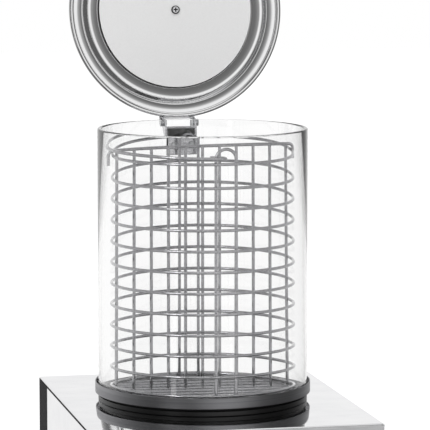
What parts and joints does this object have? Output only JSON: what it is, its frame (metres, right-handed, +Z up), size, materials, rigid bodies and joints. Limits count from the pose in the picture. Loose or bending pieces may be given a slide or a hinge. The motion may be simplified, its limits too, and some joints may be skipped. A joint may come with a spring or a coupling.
{
  "type": "hot_dog_steamer",
  "caption": "Countertop hot dog steamer with a glass cylinder, wire basket, hinged round lid and steel boiler base.",
  "frame": {"origin": "axis of the glass cylinder, at the level on which the feet stand", "axes": "+Z up, -Y towards the controls at the front, +X to the right"},
  "size_m": [0.275, 0.3533, 0.5672],
  "materials": {
    "polished_steel": "polished stainless steel sheet",
    "brushed_steel": "brushed stainless steel sheet",
    "dark_brushed_steel": "coarsely brushed stainless steel",
    "pressed_steel": "bright pressed stainless steel",
    "steel_wire": "electropolished steel wire",
    "zinc_screws": "bright zinc plated",
    "white_disc": "smooth pale plastic",
    "clear_glass": "clear tempered glass",
    "black_rubber": "black silicone rubber",
    "black_plastic": "moulded black phenolic",
    "red_plastic": "glossy red plastic",
    "amber_lens": "amber lens",
    "cream_plastic": "cream moulded plastic",
    "brass": "plain machined brass",
    "copper": "drawn copper tube",
    "wire_insulation": "brown wire insulation"
  },
  "bodies": {
    "base": {"cover": "polished_steel", "front_panel": "brushed_steel", "rear_panel": "dark_brushed_steel", "base_plate": "brushed_steel", "feet": "black_rubber", "foot_screws": "zinc_screws", "cover_screws": "zinc_screws", "boiler_pan": "brushed_steel", "heating_element": "dark_brushed_steel", "element_nuts": "brass", "safety_cutout": "black_plastic", "thermostat_body": "brushed_steel", "thermostat_bulb": "copper", "terminal_block": "cream_plastic", "wiring": "wire_insulation", "cable_gland": "black_plastic", "gland_nut": "black_plastic", "switch_body": "black_plastic", "lamp_holder": "black_plastic", "indicator_lamp": "amber_lens", "dial_ring": "brushed_steel", "drain_elbow": "brass", "drain_pipe": "brushed_steel", "drain_valve": "brass", "seal_ring": "black_rubber", "dish": "pressed_steel", "steam_plate": "brushed_steel"},
    "glass": {"glass_cylinder": "clear_glass", "hinge_bracket": "pressed_steel", "bracket_pad": "black_rubber", "clamp_plate": "pressed_steel", "clamp_pad": "black_rubber", "clamp_bolts": "zinc_screws", "clamp_nuts": "zinc_screws", "hinge_pivots": "zinc_screws"},
    "lid": {"lid_shell": "pressed_steel", "lid_disc": "white_disc", "disc_spacer": "zinc_screws", "lid_screw": "zinc_screws", "knob_spacer": "black_plastic", "lid_knob": "black_plastic", "lid_bracket": "pressed_steel"},
    "basket": {"basket_cage": "steel_wire", "basket_divider": "steel_wire"},
    "bail": {"bail_handle": "steel_wire"},
    "knob": {"thermostat_spindle": "dark_brushed_steel", "thermostat_knob": "black_plastic"},
    "rocker": {"power_rocker": "red_plastic"},
    "tap": {"drain_lever": "red_plastic"}
  },
  "joints": [
    {"name": "glass_lift", "type": "slide", "parent": "base", "child": "glass", "axis": [0, 0, 1], "range_m": [0, 0.26]},
    {"name": "lid_hinge", "type": "hinge", "parent": "glass", "child": "lid", "pos_m": [0, 0.112, 0.35], "axis": [1, 0, 0], "range_deg": [0, 96]},
    {"name": "basket_lift", "type": "slide", "parent": "base", "child": "basket", "axis": [0, 0, -1], "range_m": [-0.26, 0]},
    {"name": "bail_swing", "type": "hinge", "parent": "basket", "child": "bail", "pos_m": [0.0011, 0, 0.3327], "axis": [0, 1, 0], "range_deg": [0, 176]},
    {"name": "knob_turn", "type": "hinge", "parent": "base", "child": "knob", "pos_m": [0.062, -0.162, 0.0508], "axis": [0, -1, 0], "range_deg": [-270, 0]},
    {"name": "rocker_tip", "type": "hinge", "parent": "base", "child": "rocker", "pos_m": [-0.072, -0.16, 0.0508], "axis": [-1, 0, 0], "range_deg": [0, 16]},
    {"name": "drain_turn", "type": "hinge", "parent": "base", "child": "tap", "pos_m": [0.055, 0.155, 0.043], "axis": [0, 0, 1], "range_deg": [0, 90]}
  ]
}
